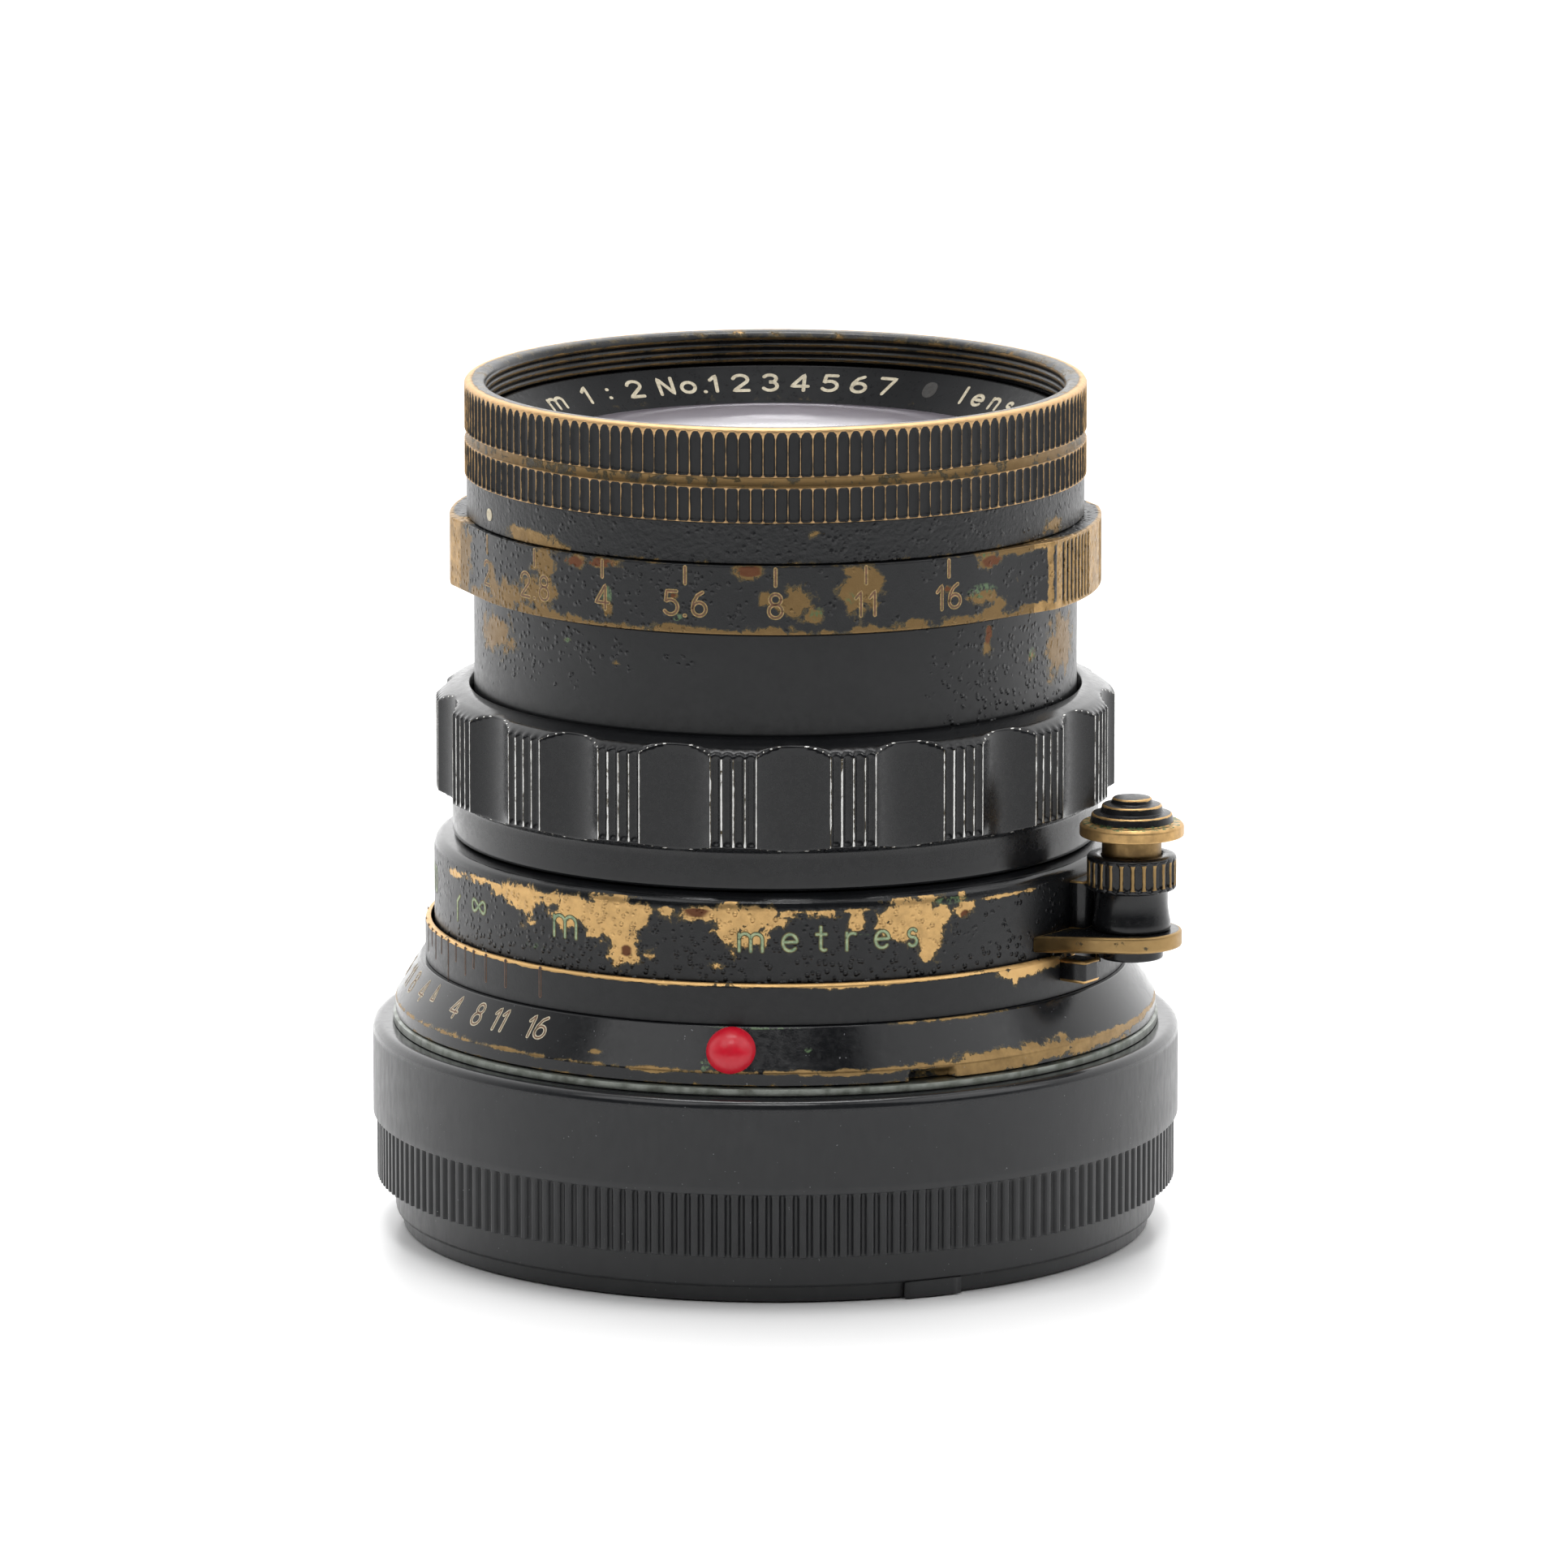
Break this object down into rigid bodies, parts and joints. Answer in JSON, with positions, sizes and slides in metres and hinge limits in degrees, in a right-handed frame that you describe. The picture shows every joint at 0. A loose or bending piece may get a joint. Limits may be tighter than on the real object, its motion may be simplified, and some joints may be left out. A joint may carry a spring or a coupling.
{
  "type": "camera lens",
  "caption": "Rangefinder camera lens in black paint over brass, with scalloped focus ring, aperture ring, iris, infinity lock, bayonet and rear cap.",
  "frame": {"origin": "centre of the rear cap's foot, on the optical axis", "axes": "+Z along the optical axis towards the front element; -Y is the side with the aperture and distance figures"},
  "size_m": [0.0548, 0.0548, 0.058],
  "materials": {
    "black_paint": "gloss lacquer worn to brass",
    "focus_ring_paint": "gloss lacquer worn to bare alloy",
    "black_anodised": "matte black",
    "brass": "aged",
    "chrome": "polished",
    "steel": "turned",
    "blade_steel": "blackened",
    "glass": "coated",
    "red_bead": "gloss",
    "cap_plastic": "satin moulded"
  },
  "bodies": {
    "mount": {"mount_base": "black_paint", "depth_scale_ring": "black_paint", "alignment_bead": "red_bead", "bayonet_ring": "chrome", "bayonet_screws": "steel", "infinity_catch": "black_paint", "guide_key": "brass", "guide_key_screws": "steel"},
    "head": {"front_rim": "black_paint", "front_barrel": "black_paint", "name_ring": "black_anodised", "front_element": "glass", "second_element": "glass", "third_element": "glass", "front_element_spacer": "black_anodised", "front_cell": "black_anodised", "head_barrel": "black_paint", "iris_base": "black_anodised", "iris_retaining_ring": "black_anodised", "rear_cell": "black_anodised", "fourth_element": "glass", "fifth_element": "glass", "sixth_element": "glass", "seventh_element": "glass", "rear_element_spacer": "black_anodised", "rear_retaining_ring": "black_anodised", "guide_tube": "brass", "thrust_ring": "brass", "click_ball": "steel", "click_spring": "steel"},
    "focus": {"focus_ring": "focus_ring_paint", "distance_ring": "black_paint", "helicoid": "brass", "helicoid_screws": "steel", "lock_arm": "black_paint", "lock_post": "black_paint", "lock_spring": "steel"},
    "lock_button": {"lock_button": "brass", "lock_stem": "brass"},
    "aperture": {"aperture_ring": "black_paint", "iris_rotor": "black_anodised", "aperture_screw": "brass"},
    "rear_cap": {"rear_cap": "cap_plastic"},
    "iris_blade_01": {"iris_blade_01": "blade_steel"},
    "iris_blade_02": {"iris_blade_02": "blade_steel"},
    "iris_blade_03": {"iris_blade_03": "blade_steel"},
    "iris_blade_04": {"iris_blade_04": "blade_steel"},
    "iris_blade_05": {"iris_blade_05": "blade_steel"},
    "iris_blade_06": {"iris_blade_06": "blade_steel"},
    "iris_blade_07": {"iris_blade_07": "blade_steel"},
    "iris_blade_08": {"iris_blade_08": "blade_steel"},
    "iris_blade_09": {"iris_blade_09": "blade_steel"},
    "iris_blade_10": {"iris_blade_10": "blade_steel"}
  },
  "joints": [
    {"name": "head_extension", "type": "slide", "parent": "mount", "child": "head", "axis": [0, 0, 1], "range_m": [0, 0.003]},
    {"name": "focus_turn", "type": "hinge", "parent": "head", "child": "focus", "pos_m": [0, 0, 0.025], "axis": [0, 0, 1], "range_deg": [0, 180]},
    {"name": "lock_press", "type": "slide", "parent": "focus", "child": "lock_button", "axis": [0, 0, -1], "range_m": [0, 0.0012], "stiffness_N_per_m": 600, "springref_m": -0.0006, "deforming": ["lock_spring"]},
    {"name": "aperture_turn", "type": "hinge", "parent": "head", "child": "aperture", "pos_m": [0, 0, 0.0465], "axis": [0, 0, 1], "range_deg": [-98.6, 0]},
    {"name": "cap_pull", "type": "slide", "parent": "mount", "child": "rear_cap", "axis": [0, 0, -1], "range_m": [0, 0.03]},
    {"name": "blade_01_swing", "type": "hinge", "parent": "head", "child": "iris_blade_01", "pos_m": [0.00266, -0.01679, 0.0385], "axis": [0, 0, 1], "range_deg": [-35.06, 0]},
    {"name": "blade_02_swing", "type": "hinge", "parent": "head", "child": "iris_blade_02", "pos_m": [0.01202, -0.01202, 0.0385], "axis": [0, 0, 1], "range_deg": [-35.06, 0]},
    {"name": "blade_03_swing", "type": "hinge", "parent": "head", "child": "iris_blade_03", "pos_m": [0.01679, -0.00266, 0.0385], "axis": [0, 0, 1], "range_deg": [-35.06, 0]},
    {"name": "blade_04_swing", "type": "hinge", "parent": "head", "child": "iris_blade_04", "pos_m": [0.01515, 0.00772, 0.0385], "axis": [0, 0, 1], "range_deg": [-35.06, 0]},
    {"name": "blade_05_swing", "type": "hinge", "parent": "head", "child": "iris_blade_05", "pos_m": [0.00772, 0.01515, 0.0385], "axis": [0, 0, 1], "range_deg": [-35.06, 0]},
    {"name": "blade_06_swing", "type": "hinge", "parent": "head", "child": "iris_blade_06", "pos_m": [-0.00266, 0.01679, 0.0385], "axis": [0, 0, 1], "range_deg": [-35.06, 0]},
    {"name": "blade_07_swing", "type": "hinge", "parent": "head", "child": "iris_blade_07", "pos_m": [-0.01202, 0.01202, 0.0385], "axis": [0, 0, 1], "range_deg": [-35.06, 0]},
    {"name": "blade_08_swing", "type": "hinge", "parent": "head", "child": "iris_blade_08", "pos_m": [-0.01679, 0.00266, 0.0385], "axis": [0, 0, 1], "range_deg": [-35.06, 0]},
    {"name": "blade_09_swing", "type": "hinge", "parent": "head", "child": "iris_blade_09", "pos_m": [-0.01515, -0.00772, 0.0385], "axis": [0, 0, 1], "range_deg": [-35.06, 0]},
    {"name": "blade_10_swing", "type": "hinge", "parent": "head", "child": "iris_blade_10", "pos_m": [-0.00772, -0.01515, 0.0385], "axis": [0, 0, 1], "range_deg": [-35.06, 0]}
  ],
  "couplings": [
    {"joint": "head_extension", "follows": "focus_turn", "m_per_rad": 0.00095492},
    {"joint": "blade_01_swing", "follows": "aperture_turn", "ratio": 0.35548},
    {"joint": "blade_02_swing", "follows": "aperture_turn", "ratio": 0.35548},
    {"joint": "blade_03_swing", "follows": "aperture_turn", "ratio": 0.35548},
    {"joint": "blade_04_swing", "follows": "aperture_turn", "ratio": 0.35548},
    {"joint": "blade_05_swing", "follows": "aperture_turn", "ratio": 0.35548},
    {"joint": "blade_06_swing", "follows": "aperture_turn", "ratio": 0.35548},
    {"joint": "blade_07_swing", "follows": "aperture_turn", "ratio": 0.35548},
    {"joint": "blade_08_swing", "follows": "aperture_turn", "ratio": 0.35548},
    {"joint": "blade_09_swing", "follows": "aperture_turn", "ratio": 0.35548},
    {"joint": "blade_10_swing", "follows": "aperture_turn", "ratio": 0.35548}
  ]
}
